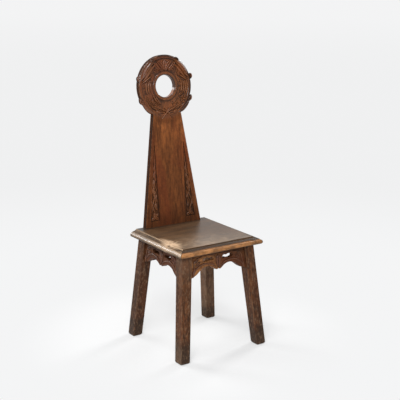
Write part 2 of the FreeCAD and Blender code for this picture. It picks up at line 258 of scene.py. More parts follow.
def oak(
    name, grain, seed, tones, gloss=0.38, shine=1.2, wax=0.13, tooth=0.4,
    darkened_and_shaded=nothing, soiled_and_shaded=nothing, golden=nothing, wear_and_painted_light=nothing, polished=nothing, dulled=nothing,
):
    """Old stained oak: figure and pores, then by masks darkening, dirt, golden varnish and wear, with
    painted shade and light.
    """
    warm, deep, red, wear_and_highlight_tone = tones
    finish = Finish(name)
    shift = (0.37 * seed, 0.61 * seed + 0.13, 0.29 * seed)
    board = finish.turned(shift, grain, (1, 1, 0.08))
    fine = finish.turned(shift, grain, (1, 1, 0.025))
    clouds = finish.noise(board, 20, 3, 0.55, 0.8)
    bands = finish.noise(board, 150, 3, 0.6, 0.5)
    lines = finish.noise(fine, 380, 3, 0.6)
    pores = finish.noise(fine, 1300, 2, 0.5)
    reds = finish.noise(finish.turned(shift, grain, (1, 1, 0.3)), 13, 3, 0.55, 0.4)
    figure = clouds.step(0.41, 0.59) * 0.4 + bands.step(0.40, 0.60) * 0.38 + lines.step(0.35, 0.65) * 0.22
    colour = finish.blend(figure, deep, warm)
    colour = finish.blend(reds.step(0.42, 0.66) * 0.65, colour, red)
    pitted = pores.step(0.58, 0.7)
    colour = finish.blend(pitted * 0.45, colour, darker(deep, 0.35))
    # The darkening and dirt masks also paint shade, and the pale wear also paints highlights and sheen.
    colour = finish.blend(darkened_and_shaded(finish), colour, darker(deep, 0.45))
    colour = finish.blend(soiled_and_shaded(finish), colour, dirt_and_shade)
    colour = finish.blend(golden(finish), colour, amber)
    # The pale wear tone also paints highlights, sheen and light on the seat and legs.
    colour = finish.blend(wear_and_painted_light(finish), colour, wear_and_highlight_tone)
    rough = gloss + 0.14 * clouds + 0.10 * pitted + 0.45 * dulled(finish)
    height = lines * 0.5 - pitted * 0.5 + bands * 0.9
    normal = finish.relief(height, 0.0007, tooth)
    sockets = {"Base_Color": colour, "Roughness": rough, "Normal": normal, "IOR": shine}
    return finish.done(**sockets, Coat_Weight=polished(finish), Coat_Roughness=wax)


def leg_section(z):
    """Half a leg's width, and how far its middle stands to the side, at a height."""
    rise = z / seat_under
    half = leg_foot_half + rise * (leg_top_half - leg_foot_half)
    return half, front_leg_high.x - rise * side_splay - half


def which_leg(finish):
    """Two masks, 1 on the right legs and 1 on the back legs, that turn over between the legs."""
    x, y = finish.place.parts()[:2]
    return x.step(-between_legs, between_legs), y.step(-between_legs, between_legs)


def leg_arris(finish):
    """How far the place lies from the nearest arris of its leg."""
    x, y, z = finish.place.parts()
    half, middle = leg_section(z)
    front_middle = front_leg_low.y + z * (front_rake / seat_under) + half
    back_middle = back_leg_high.y - z * (back_rake / seat_under) - half
    along = front_middle + which_leg(finish)[1] * (back_middle - front_middle)
    return (half - (x.size() - middle).size()).most(half - (y - along).size())


def leg_left_face(finish):
    """1 on the left face of each leg."""
    x, z = finish.place.parts()[::2]
    half, middle = leg_section(z)
    side = which_leg(finish)[0] * 2 - 1
    return (x - side * middle + half).step(0.004, 0.001)


def leg_wear_and_light(finish):
    """Broken pale lines on the arrises, flecks and scuffed feet.

    Painted light lightens one back leg in clouds and the top of the front left leg, which also has a pale
    foot.
    """
    z = finish.place.parts()[2]
    left = leg_left_face(finish)
    right, back = which_leg(finish)
    front_left = (1 - right) * (1 - back)
    chips = finish.noise(finish.turned(stretch=(1, 1, 0.35)), 70, 4, 0.65)
    flecks = finish.noise(finish.turned((0.7, 0.1, 0.3), stretch=(1, 1, 0.5)), 125, 3, 0.65)
    clouds = finish.noise(finish.turned((0.3, 0.6, 0.9), stretch=(1, 1, 0.5)), 62, 3, 0.6)
    scuffs = finish.noise(finish.place, 230, 3, 0.7).step(0.52, 0.68) * 0.24 + 0.05
    arris = 1 - (leg_arris(finish) - (chips - 0.5) * 0.01).step(-0.0005, 0.0035)
    # Painted light: the back right leg is lightened in clouds, most on its left face.
    painted_light_leg = right * back * z.step(0.02, 0.09) * (0.15 + 0.28 * clouds.step(0.4, 0.6))
    painted_light_leg = painted_light_leg * (0.6 + 0.6 * left)
    # Painted light on the top of the front left leg.
    bright_top = front_left * z.step(0.27, 0.36) * 0.13
    pale_foot = front_left * left * z.step(0.10, 0.04) * (0.06 + 0.12 * clouds.step(0.35, 0.6))
    marks = (arris * chips.step(0.35, 0.7) * 0.28).most(scuffs * z.step(0.11, 0.01))
    marks = marks.most(flecks.step(0.50, 0.66) * 0.3)
    return marks + (painted_light_leg + bright_top + pale_foot) * (1 - marks)


def leg_dirt_and_shade(finish):
    """Grimy feet, dark dents and spots, painted shade under the seat, and one leg darkened all over by
    painted shade.
    """
    z = finish.place.parts()[2]
    right, back = which_leg(finish)
    patches = finish.noise(finish.place, 30, 4, 0.6)
    feet = 1 - (z - patches * 0.30).step(-0.12, 0.02)
    # Painted shade on each leg's top, under the seat.
    top = (z - seat_under).step(-0.013, 0.0)
    dents = finish.noise(finish.turned((0.4, 0.2, 0), stretch=(1, 1, 0.5)), 95, 3, 0.6)
    spots = finish.noise(finish.turned((0.1, 0.8, 0.2), stretch=(1, 1, 0.5)), 120, 4, 0.65)
    blotches = finish.noise(finish.turned((0.9, 0.4, 0.6), stretch=(1, 1, 0.45)), 32, 3, 0.6)
    marks = (dents.step(0.6, 0.72) * 0.4).most(spots.step(0.5, 0.63) * 0.62)
    marks = marks.most(blotches.step(0.48, 0.62) * 0.36)
    # Painted shade darkens the back left leg all over.
    dark_leg = (1 - right) * back
    return (feet * 0.86).most(top * 0.4).most(marks).most(dark_leg * 0.36)


def apron_dirt_and_shade(finish):
    """Painted shade under the seat, and dirt in patches."""
    below = finish.place.parts()[2] - seat_under
    patches = finish.noise(finish.place, 55, 3, 0.6).step(0.5, 0.68)
    # Painted shade just under the seat, and dirt in patches elsewhere.
    return (below.step(-0.018, -0.004) * 0.85).most(patches * 0.3 + 0.12)


def board_place(finish):
    """Across the back board's face and up it."""
    return finish.place.parts()[0], finish.along(plank_face.col[1].xyz, plank_foot)


def board_out(finish):
    """How far the place lies in front of the board's face."""
    return finish.along(plank_face.col[2].xyz, plank_foot)


def from_ring(across, up):
    """How far the place lies from the ring's centre."""
    away = up - ring_height
    return (across * across + away * away) ** 0.5


def hole_shadow(across, up):
    """1 on the hand hole's wall, down to where it shines."""
    wall = (from_ring(across, up) - hole_radius).step(0.0012, 0.0006)
    return wall * (up - ring_height).step(-0.022, -0.006)


def board_edge(across, up):
    """How far the place lies inside the board's outline."""
    return (plank_foot_half - plank_slope * up - across.size()).most(ring_radius - from_ring(across, up))


def on_edge(across, up):
    """1 on the board's narrow edges."""
    return board_edge(across, up).step(0.0012, 0.0002)


def on_front(out):
    """1 on the board's face and in what is sunk in it."""
    return out.step(-0.0075, -0.006)


def board_darkening_and_shade(finish):
    """The board is darker low down, on its edges, border and bead and round its ring, with painted shade on
    its rim.
    """
    across, up = board_place(finish)
    reach = from_ring(across, up)
    above = up - ring_height
    low = up.step(0.40, 0.26) * 0.27
    foot = up.step(0.12, 0.0) * 0.62
    neck = above.step(-0.085, -0.105)
    ring = (reach - ring_radius - 0.018 * neck).step(0.0125, -0.0015)
    ring = ring * (reach - field_radius).step(-0.003, 0.001) * 0.42
    shoulder = across.step(-0.02, -0.06) * above.step(-0.01, 0.03)
    left_band = across.step(-0.095, -0.105) * above.size().step(0.055, 0.035)
    top_band = (reach - field_radius).step(-0.005, 0.001) * above.step(0.092, 0.104)
    # Painted shade on the ring's rim where it turns from the light, less on the upper left, the left band
    # and the neck.
    slope = (reach - band_radius + 0.004 * across.step(-0.06, 0.05)).step(0.0, 0.003)
    slope = slope * (reach - ring_radius).step(0.0045, 0.0005)
    slope = slope * (0.96 - 0.3 * shoulder - 0.66 * left_band - 0.55 * neck)
    bead = (reach - bead_radius).size().step(0.0078, 0.0050)
    border = board_edge(across, up).step(0.022, 0.016) * across.step(-0.02, -0.05)
    border = border * (reach - ring_radius).step(0.0085, 0.0285)
    around = ring.most(slope).most(top_band * 0.6).most(bead * 0.42)
    # The edges are darker, and painted shadow darkens the hand hole's wall above where it shines.
    darkest = (on_edge(across, up) * 0.97).most(hole_shadow(across, up) * 0.85)
    return low.most(foot).most(border * 0.5).most(around).most(darkest)


def board_soil(finish):
    """Grime in the sunk fields, in the quirks beside them and in the grooves of the ring."""
    across, up = board_place(finish)
    out = board_out(finish)
    reach = from_ring(across, up)
    front = on_front(out)
    sunk = out.step(-0.0022, -0.0034) * front
    patches = finish.noise(finish.place, 60, 3, 0.6).step(0.42, 0.62)
    quirk = out.step(-0.0002, -0.0012) * out.step(-0.0037, -0.0026) * 0.7
    bead_groove = (reach - bead_groove_radius).size().step(0.0030, 0.0012) * (0.6 + 0.25 * patches)
    band_groove = (reach - band_groove_radius).size().step(0.0024, 0.0006) * 0.6
    beyond = (reach - ring_radius).step(0.0035, 0.0045)
    lower = (up - ring_height).step(-0.055, -0.070)
    panel = sunk * beyond * (0.55 + 0.3 * patches)
    field = sunk * (1 - beyond) * (0.26 + 0.49 * patches) * (1 - 0.6 * lower)
    grooves = bead_groove.most(band_groove) * front
    return grooves.most(quirk).most(panel).most(field).most(patches * 0.16)


def board_dullness(finish):
    """The edges all round are dull."""
    return on_edge(*board_place(finish))


def board_rub(finish):
    """Broken pale lines on the arrises, and a paler bead round the hand hole, from wear."""
    across, up = board_place(finish)
    chips = finish.noise(finish.place, 70, 4, 0.65)
    edge = board_edge(across, up)
    arris = edge.step(0.0001, 0.0008) * (1 - (edge - (chips - 0.45) * 0.01).step(0.0, 0.004))
    bead = (from_ring(across, up) - bead_radius).size().step(0.0045, 0.0008)
    bead = bead * board_out(finish).step(-0.004, -0.001)
    return (arris * chips.step(0.3, 0.7) * 0.3).most(bead * 0.06)


def on_shoulder(across, up):
    """1 on the ring's upper left, which shines most."""
    return across.step(-0.02, -0.05) * (up - ring_height).step(0.0, 0.03)


def ring_polish(finish):
    """Hands have polished the ring, most of all low in its hand hole."""
    across, up = board_place(finish)
    reach = from_ring(across, up)
    ring = (reach - ring_radius).step(0.0085, -0.0015) * board_edge(across, up).step(0.0003, 0.0020)
    hole = (reach - hole_radius).step(0.0041, 0.0011) * (1 - 0.75 * hole_shadow(across, up))
    rim = on_shoulder(across, up) * (reach - band_radius).step(-0.001, 0.001)
    rim = rim * on_front(board_out(finish))
    return (ring * 0.45).most(hole).most(rim * 0.4)


def seat_out(finish):
    """How far the place lies outside the seat's flat field."""
    x, y = finish.place.parts()[:2]
    return (x.size() - flat_half_width).most(flat_front - y)


def seat_nose(finish):
    """How far the place lies past the start of the moulding's nose."""
    return seat_out(finish) - nose_start


def seat_rise(finish):
    """How high the place lies above the seat's underside."""
    return finish.place.parts()[2] - seat_under


def seat_mitre(finish):
    """How far the place lies past the mitre, on the moulding of a side instead of the front."""
    x, y = finish.place.parts()[:2]
    return x.size() - flat_half_width - (flat_front - y)


def seat_joint(finish):
    """A dark line down each mitre of the moulding."""
    return seat_mitre(finish).size().step(0.0026, 0.0008) * seat_out(finish).step(0.001, 0.004)


def seat_side(finish, hand):
    """1 on the moulding of the left side (-1) or the right side (1), as far as its mitre."""
    beside = finish.place.parts()[0] * hand
    return seat_mitre(finish).step(0, 0.002) * beside.step(flat_half_width - 0.002, flat_half_width)


def from_patch(finish):
    """How far the place lies from the middle of the worn patch near the left front."""
    x, y = finish.place.parts()[:2]
    return (x - worn_patch.x).size() * 1.35 + (y - worn_patch.y).size() * 0.8


def seat_dirt_and_shade(finish):
    """Painted shade in the hollow, at the board's foot, the back left corner, underneath and on the right;
    dark mitres.
    """
    y, z = finish.place.parts()[1:]
    nose = seat_nose(finish)
    left = seat_side(finish, -1)
    # Painted shade in the hollow and at the nose's edge, less on the left and near the pale patch.
    hollow = seat_out(finish).step(0.0004, 0.0024) * nose.step(0.0003, -0.0049)
    hollow = hollow * (0.84 - 0.14 * left) * (1 - 0.85 * from_patch(finish).step(0.090, 0.040))
    rim = (nose + 0.0004).size().step(0.0028, 0.0008)
    # Painted shade at the board's foot, the back left corner, underneath and on the right moulding.
    foot = (y - plank_foot.y).step(-0.0252, 0.0008) * (z - seat_top).step(-0.0015, -0.0002)
    corner = (y - seat_high.y).step(-0.0403, -0.0053) * left
    under = seat_rise(finish).step(0.0035, 0.0005)
    edges = (hollow * 0.5).most(rim * 0.45).most(seat_joint(finish) * 0.8).most(seat_side(finish, 1) * 0.8)
    return edges.most(foot * 0.6).most(corner * 0.45).most(under * 0.6)


def seat_streaks(finish, left):
    """Blotchy streaks along the grain, and along the moulding on the left."""
    across = finish.noise(finish.turned((0.2, 0.1, 0), stretch=(0.25, 1, 1)), 130, 4, 0.62, 0.4)
    back = finish.noise(finish.turned((0.3, 0.2, 0), stretch=(1, 0.12, 1)), 130, 3, 0.55, 0.3)
    blots = finish.noise(finish.turned((0.5, 0.3, 0), stretch=(1, 0.8, 1)), 34, 3, 0.6, 0.6)
    return (across + left * (back - across)) * 0.55 + blots * 0.45


def seat_gold(finish):
    """The moulding's nose has kept its golden varnish at the front, and a little on the right."""
    x = finish.place.parts()[0]
    streaks = seat_streaks(finish, 0.0)
    nose = seat_nose(finish).step(-0.0019, 0.0011) * seat_rise(finish).step(0.0005, 0.007)
    shares = (0.34 + 0.6 * streaks.step(0.38, 0.6)) * (1 - 0.4 * x.step(0.05, 0.19))
    elsewhere = (1 - 0.8 * seat_side(finish, 1)) * (1 - 0.8 * seat_joint(finish))
    return nose * (1 - seat_side(finish, -1)) * shares * elsewhere


def seat_wear_and_sheen(finish):
    """Pale wear near the left front and along the left moulding, most to the front, with painted highlights
    and sheen.
    """
    x, y = finish.place.parts()[:2]
    out = seat_out(finish)
    past = seat_nose(finish)
    left = seat_side(finish, -1)
    ahead = left * (0.55 + 0.45 * y.step(0.05, -0.09))
    mixed = seat_streaks(finish, left)
    patch = from_patch(finish).step(0.082, 0.012) * mixed.step(0.36, 0.50)
    nose = past.step(-0.0014, 0.0009) * seat_rise(finish).step(0.0045, 0.011)
    nose = nose * (0.4 + 0.6 * mixed.step(0.38, 0.6))
    # Painted highlights: pale lines along the moulding's crest and arris, over its real wear.
    crest = (past - 0.0009).size().step(0.0034, 0.0004)
    arris = out.size().step(0.0022, 0.0006)
    moulding = (mixed.step(0.40, 0.66) * 0.25).most(nose * 0.55).most(crest * 0.6).most(arris * 0.75)
    # Painted sheen: the flat field pales towards the front.
    flat = out.step(0.0, -0.003) * (0.3 + 0.7 * mixed.step(0.4, 0.7))
    flat = flat * (0.035 + 0.44 * y.step(0.0, -0.19)) * (1 - 0.3 * x.step(-0.06, 0.12))
    return patch.most(moulding * ahead).most(flat) * (1 - 0.8 * seat_joint(finish))


def seat_polish(finish):
    """The flat field has a sheen, and the nose shines, most of all on the left."""
    x = finish.place.parts()[0]
    nose = seat_nose(finish).step(-0.0019, 0.0003) * seat_rise(finish).step(0.007, 0.013)
    nose = nose * (0.3 + 0.7 * seat_side(finish, -1))
    flat = seat_out(finish).step(0.0, -0.001) * (0.5 - 0.12 * x.step(-0.06, 0.10))
    return nose * (1 - 0.8 * seat_side(finish, 1)) * (1 - seat_joint(finish)) + flat


def seat_dullness(finish):
    """The right moulding and the mitres are dull."""
    return seat_side(finish, 1).most(seat_joint(finish))


def apron_gold(finish):
    """The left half of the front apron has kept its golden varnish."""
    x, z = finish.place.parts()[::2]
    streaks = finish.noise(finish.turned((0.1, 0.3, 0.2), stretch=(0.5, 1, 1)), 60, 3, 0.6)
    return x.step(0.03, -0.05) * (z - seat_under).step(-0.003, -0.026) * streaks.step(0.3, 0.6) * 0.54


def ring_rim_shade(finish):
    """Painted shade darkens the carving where the ring's rim turns from the light, most on the right; darker
    on the shoulder.
    """
    across, up = board_place(finish)
    reach = from_ring(across, up)
    rim = (reach - band_radius).step(-0.002, 0.003) * (0.2 + 0.7 * across.step(-0.03, 0.05))
    shoulder = on_shoulder(across, up) * (reach - field_radius).step(-0.006, 0.0) * 0.4
    return rim.most(shoulder) * (reach - ring_radius).step(0.006, 0.002)


def crest_of(finish):
    """How high on its carved form the place lies, from 0 on the low rim towards 1 on top."""
    return finish.node("ShaderNodeAttribute", {"attribute_name": "crest"}).output("Fac")


def crest_shade_and_dirt(finish):
    """Painted shade and dirt on the low rim of each form and low on its slopes."""
    return (1 - crest_of(finish).step(0.03, 0.5)) * 0.92


def crest_rub(finish):
    """The highest crests are pale with wear in places."""
    chips = finish.noise(finish.place, 90, 3, 0.6)
    return crest_of(finish).step(0.72, 0.95) * chips.step(0.35, 0.6) * 0.34


def crest_polish(finish):
    """The crests shine, most on the left of the ring's band and less towards the right."""
    across, up = board_place(finish)
    reach = from_ring(across, up)
    left_band = (reach - field_radius).step(0.001, 0.007) * (reach - ring_radius).step(0.0285, 0.0185)
    left_band = left_band * across.step(0.0, -0.03)
    return crest_of(finish).step(0.15, 0.6) * (0.55 + 0.45 * left_band - 0.2 * across.step(0.03, 0.08))


# Stains: the common colour, the darker figure, the redder clouds, and bare wood from wear, also used for
# painted light
plank_tones = ((0.300, 0.097, 0.028), (0.085, 0.028, 0.010), (0.215, 0.050, 0.017), (0.48, 0.24, 0.12))
carved_tones = ((0.200, 0.066, 0.019), (0.080, 0.027, 0.008), (0.16, 0.040, 0.013), (0.46, 0.24, 0.13))
leg_tones = ((0.158, 0.058, 0.021), (0.038, 0.016, 0.009), (0.118, 0.035, 0.014), (0.33, 0.20, 0.12))
seat_tones = ((0.115, 0.060, 0.026), (0.022, 0.013, 0.007), (0.085, 0.038, 0.015), (0.64, 0.45, 0.29))
bare_tones = ((0.30, 0.19, 0.11), (0.20, 0.12, 0.07), (0.26, 0.15, 0.08), (0.4, 0.28, 0.18))
# Dark dirt, which also paints shade in hollows, under the seat and low on the carving
dirt_and_shade = (0.016, 0.011, 0.008)
amber = (0.46, 0.205, 0.072)

plank_masks = {
    "darkened_and_shaded": board_darkening_and_shade, "soiled_and_shaded": board_soil, "wear_and_painted_light": board_rub,
    "polished": ring_polish, "dulled": board_dullness,
}
plank_oak = oak("plank_oak", grain_up, 1.0, plank_tones, **plank_masks)
leg_oak = oak("leg_oak", grain_up, 2.0, leg_tones, soiled_and_shaded=leg_dirt_and_shade, wear_and_painted_light=leg_wear_and_light)
front_oak = oak("front_apron_oak", grain_across, 3.0, leg_tones, soiled_and_shaded=apron_dirt_and_shade, golden=apron_gold)
side_oak = oak("side_apron_oak", grain_back, 4.0, leg_tones, soiled_and_shaded=apron_dirt_and_shade)
back_oak = oak("back_apron_oak", grain_across, 7.0, leg_tones, soiled_and_shaded=apron_dirt_and_shade)
seat_masks = {
    "soiled_and_shaded": seat_dirt_and_shade, "golden": seat_gold, "wear_and_painted_light": seat_wear_and_sheen,
    "polished": seat_polish, "dulled": seat_dullness,
}
seat_oak = oak("seat_oak", grain_across, 5.0, seat_tones, shine=1.25, wax=0.3, tooth=0.07, **seat_masks)
raw_oak = oak("raw_oak", grain_up, 6.0, bare_tones, gloss=0.7)
carving_masks = {
    "soiled_and_shaded": crest_shade_and_dirt, "wear_and_painted_light": crest_rub, "polished": crest_polish,
    "wax": 0.3, "tooth": 0.05,
}
carved_plank_oak = oak("carved_plank_oak", grain_up, 1.0, carved_tones, darkened_and_shaded=ring_rim_shade, **carving_masks)
carved_front_oak = oak("carved_front_oak", grain_across, 3.0, leg_tones, **carving_masks)
carved_side_oak = oak("carved_side_oak", grain_back, 4.0, leg_tones, **carving_masks)


def old_steel():
    """Dull, mottled steel for the screws."""
    finish = Finish("old_steel")
    mottle = finish.noise(finish.place, 400, 3)
    colour = finish.blend(mottle.step(0.4, 0.65), (0.09, 0.065, 0.05), (0.3, 0.28, 0.26))
    return finish.done(Base_Color=colour, Metallic=0.9, Roughness=0.35 + 0.3 * mottle)


steel = old_steel()

node_finish = {
    "seat_board": seat_oak,
    "back_plank": plank_oak,
    "front_apron": front_oak,
    "back_apron": back_oak,
    "left_apron": side_oak,
    "right_apron": side_oak,
    "seat_screws": steel,
    "plank_screws": steel,
}
for name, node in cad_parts.items():
    finish = node_finish.get(name, raw_oak if "block" in name else leg_oak)
    for slot in node.material_slots:
        slot.material = finish


def ease(leg, arris, sole):
    """Wears a leg: its soles' edges are rounded, and its arrises lose their sharpness."""
    weld = leg.modifiers.new("weld", "WELD")
    weld.merge_threshold = 1e-6
    foot = leg.vertex_groups.new(name="foot")
    foot.add([vert.index for vert in leg.data.vertices if vert.co.z < mm], 1.0, "REPLACE")
    bevels = [("worn_foot", sole, 4, "VGROUP"), ("worn_arris", arris, 2, "ANGLE")]
    for name, width, segments, limit in bevels:
        bevel = leg.modifiers.new(name, "BEVEL")
        bevel.width = width
        bevel.segments = segments
        bevel.limit_method = limit
        bevel.angle_limit = math.radians(35)
        bevel.use_clamp_overlap = False
    leg.modifiers["worn_foot"].vertex_group = foot.name
    normals = leg.modifiers.new("normals", "WEIGHTED_NORMAL")
    normals.keep_sharp = True


for name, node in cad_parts.items():
    if "leg" in name:
        ease(node, worn_arris, worn_sole)

# Carving: every form lies along a spine drawn on its board's face, in millimetres

# Round each form lies a low rim, and the form takes its share of the width inside it
rim_height = 0.35
form_share = 0.86

# How deep most forms reach into their ground
usual_sink = 1.5


def flow(points, t):
    """A point and its direction on a smooth line through the points, t running from 0 to 1."""
    last = len(points) - 1
    place = min(t * last, last - 1e-9)
    i = int(place)
    s = place - i
    before, start, end, after = (Vector(points[max(0, min(last, k))]) for k in (i - 1, i, i + 1, i + 2))
    bend = (end - before) / 2
    turn = (after - start) / 2
    point = start * (2 * s**3 - 3 * s**2 + 1) + bend * (s**3 - 2 * s**2 + s)
    point += end * (3 * s**2 - 2 * s**3) + turn * (s**3 - s**2)
    heading = start * (6 * s**2 - 6 * s) + bend * (3 * s**2 - 4 * s + 1)
    heading += end * (6 * s - 6 * s**2) + turn * (3 * s**2 - 2 * s)
    return point, heading


def even(values, t):
    """Reads a list of values at t, with straight runs between them."""
    place = min(max(t, 0), 1) * (len(values) - 1)
    i = min(int(place), len(values) - 2)
    return values[i] + (values[i + 1] - values[i]) * (place - i)


# Sections: a form's height at s, from -1 to 1 across it, and at t, from 0 to 1 along it


def stem_section(s, t):
    """A round back."""
    return (1 - s * s) ** 0.5


def leaf_section(s, t):
    """Two swelling halves, a sunk midrib and fine side veins."""
    body = (1 - s**4) ** 0.5 * (0.55 + 0.45 * abs(s) ** 0.8)
    rib = 0.55 * math.exp(-((s / 0.16) ** 2))
    return body - rib + 0.06 * math.cos(30 * t - 9 * abs(s)) * (1 - s * s)


def feather_section(s, t):
    """A long blade that falls away on both sides of a ridge near its inner edge."""
    beside = s + 0.45
    return (1 - s**8) ** 0.5 * (1 - max(0.42 * beside, -0.9 * beside))


def shoulder_section(s, t):
    """A blade with its ridge near the inner edge and a steep, straight fall to the outer one."""
    beside = s + 0.6
    return (1 - s**8) ** 0.5 * (1 - max(0.72 * beside, -1.2 * beside))


def hollow_section(s, t):
    """A petal or blade scooped out between raised rims."""
    return (1 - s**8) ** 0.5 * (0.25 + 0.75 * s * s)


def bud_section(s, t):
    """A round back with three soft ridges."""
    return (1 - s * s) ** 0.5 * (1 + 0.2 * math.cos(9.4 * s))


def carve(face, ground, spine, widths, heights, section, sink, rows, around, hand=1):
    """A mesh of one closed form, swelling out of the ground and sunk a little way into it.

    Its outermost seventh is a low rim, which holds the dark line of painted shade and dirt around the form.
    """
    work = bmesh.new()
    crest = work.verts.layers.float.new("crest")
    bmesh.ops.create_uvsphere(work, u_segments=around, v_segments=rows, radius=1)
    top = 1.15 * max(heights)
    stations = {}
    for vert in work.verts:
        t = round(math.acos(max(-1.0, min(1.0, -vert.co.z))) / math.pi, 5)
        if t not in stations:
            middle, heading = flow(spine, t)
            stations[t] = middle, Vector((-heading.y, heading.x)).normalized() * even(widths, t) / 2
        middle, side = stations[t]
        ring = math.hypot(vert.co.x, vert.co.y)
        s, lift = (vert.co.x / ring, vert.co.y / ring) if ring > 1e-6 else (0.0, 0.0)
        spot = middle + side * s
        inner = min(1.0, abs(s) / form_share)
        height = lift * sink
        if lift >= 0:
            rim = rim_height * (1 - abs(s) ** 6)
            height = rim + even(heights, t) * max(section(math.copysign(inner, s), t), 0.0)
        vert[crest] = max(height - rim_height, 0) / top
        vert.co = face @ (Vector((hand * spot.x, spot.y, ground + height)) * mm)
    bmesh.ops.recalc_face_normals(work, faces=work.faces)
    for surface in work.faces:
        surface.smooth = True
    mesh = bpy.data.meshes.new("form")
    work.to_mesh(mesh)
    work.free()
    return mesh


def carving(name, finish, face, ground, forms):
    """One piece made of all the forms carved on a face."""
    work = bmesh.new()
    for form in forms:
        mesh = carve(face, ground, **form)
        work.from_mesh(mesh)
        bpy.data.meshes.remove(mesh)
    mesh = bpy.data.meshes.new(name)
    work.to_mesh(mesh)
    work.free()
    mesh.materials.append(finish)
    piece = bpy.data.objects.new(name, mesh)
    bpy.context.scene.collection.objects.link(piece)
    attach(piece, "root")
    return piece


def mirrored(forms):
    """The forms and their likeness on the other side."""
    return forms + [dict(form, hand=-1) for form in forms]


def moved(forms, height, share=1.0):
    """Shifts forms up the board, and narrows them across it by a share."""
    return [dict(form, spine=[(x * share, y + height) for x, y in form["spine"]]) for form in forms]


def scaled(values, size):
    return [size * value for value in values]


def shape(spine, width, height, width_shares, height_shares, section, sink, rows, around):
    """One form for carve: its widths and heights along the spine, its section and its mesh."""
    widths = scaled(width_shares, width)
    heights = scaled(height_shares, height)
    form = dict(spine=spine, widths=widths, heights=heights, section=section)
    return dict(form, sink=sink, rows=rows, around=around)


def stem(spine, width=4.4, height=3.0, sink=usual_sink):
    return shape(spine, width, height, (0.3, 1, 1, 1, 0.3), (0.6, 1, 1, 1, 0.6), stem_section, sink, 34, 14)


def reed(spine, width, height):
    """A blunt ridge, one of several side by side."""
    shares = (0.5, 1, 1, 1, 1, 1, 0.5)
    return shape(spine, width, height, shares, shares, stem_section, usual_sink, 30, 14)


def leaf(spine, width, height=3.6, section=leaf_section, sink=usual_sink, rows=22, around=20):
    widths = (0, 0.6, 0.92, 1, 0.95, 0.75, 0.42, 0)
    heights = (0.4, 0.9, 1, 1, 1, 0.95, 0.7, 0.2)
    return shape(spine, width, height, widths, heights, section, sink, rows, around)


def bud(spine, width, height=4.0, sink=usual_sink):
    widths = (0.3, 0.85, 1, 0.9, 0.6, 0.1)
    heights = (0.5, 1, 1, 0.9, 0.7, 0.2)
    return shape(spine, width, height, widths, heights, bud_section, sink, 22, 26)


def rose(x, y, size, height):
    """A round flower: five scooped petals about a boss."""
    petals = []
    for turn in range(5):
        angle = math.radians(72 * turn + 20)
        across = math.cos(angle)
        up = math.sin(angle)
        spine = [(x + across * size * reach, y + up * size * reach) for reach in (0.16, 0.5, 0.8, 1.05)]
        petals.append(leaf(spine, 1.1 * size, height, hollow_section))
    ends = [(x - 0.3 * size, y), (x, y), (x + 0.3 * size, y)]
    widths = (0, 0.75, 1, 0.75, 0)
    heights = (0.6, 1, 1, 1, 0.6)
    boss = shape(ends, 0.6 * size, height * 1.2, widths, heights, stem_section, usual_sink, 14, 16)
    return petals + [boss]


def arc_line(radius, start, end, count=7):
    """Points round the ring, from one angle to another."""
    angles = [math.radians(start + (end - start) * i / (count - 1)) for i in range(count)]
    return [(radius * math.cos(angle), radius * math.sin(angle)) for angle in angles]


# The ring, from its own centre: three long feathers over each shoulder, a fan of leaves on top,
# reeds down the sides, a rose low on the right and long leaves low on the left, stems that cross
# at the neck, small leaves between them and three ears on each side of the edge
ring_pairs = [
    leaf([(45, 97), (66, 82), (84, 63), (98, 41), (117, 24)], 19, 8.6, feather_section, rows=44, around=30),
    leaf([(40, 85), (58, 72), (74, 54), (88, 36), (108, 20)], 17, 7.2, feather_section, rows=40, around=30),
    leaf([(58, 44), (78, 33), (96, 22), (114, 13)], 8, 7.4, stem_section),
    leaf([(48, 106.5), (58.5, 103.5), (68, 96)], 12, 8.4, sink=9),
    leaf([(117.5, 44), (121.5, 34), (120.5, 21)], 13, 8.0, sink=9),
    leaf([(54, 66), (62, 52), (60, 36)], 12, 5.4, hollow_section),
    leaf([(66, 28), (74, 14), (72, 0)], 9, 4.4),
    leaf([(100, -62), (113, -55), (119, -40)], 17, 8.0, sink=9),
    leaf([(50, -106), (76, -95), (98, -74), (112, -52)], 16, 8.0, feather_section, rows=34),
    leaf([(24, -72), (40, -66), (56, -50)], 12, 4.2, hollow_section),
    stem([(-26, -128), (-10, -110), (6, -97), (32, -86), (56, -76)], 7.0, 7.4, sink=3),
    stem([(-12, -84), (4, -104), (24, -124)], 5.0, 6.6, sink=3),
    leaf([(4, -114), (24, -105), (48, -112)], 17, 7.6, hollow_section, sink=3),
    bud([(28, -104), (40, -99), (50, -92)], 15, 8.4, sink=3),
    leaf([(36, -90), (54, -80), (76, -72)], 15, 6.4),
    leaf([(5, 62), (14, 80), (25, 92), (36, 101)], 17, 7.0),
    leaf([(14, 60), (30, 70), (42, 84), (50, 93)], 15, 6.6),
    leaf([(2, 61), (12, 69), (20, 66)], 9, 6.8, hollow_section),
    leaf([(22, 60), (36, 66), (46, 62)], 11, 5.4, hollow_section),
]
ring_middle = [leaf([(0, 60), (0, 84), (0, 105)], 18, 8.0)]
ring_right = rose(82, -54, 17, 7.4) + [
    leaf(arc_line(111, 68, 15), 18, 8.4, feather_section, rows=44, around=30),
    leaf([(46, -62), (62, -78), (86, -84)], 14, 5.6, hollow_section),
    leaf([(58, -40), (70, -34), (84, -30)], 10, 4.6),
]
ring_right += [reed(arc_line(reach, 11, -21), 7.8, 5.2) for reach in (75, 84, 93, 102)]
ring_left = [reed(arc_line(reach, 166, 198), 8.8, 3.6) for reach in (68, 78, 88)]
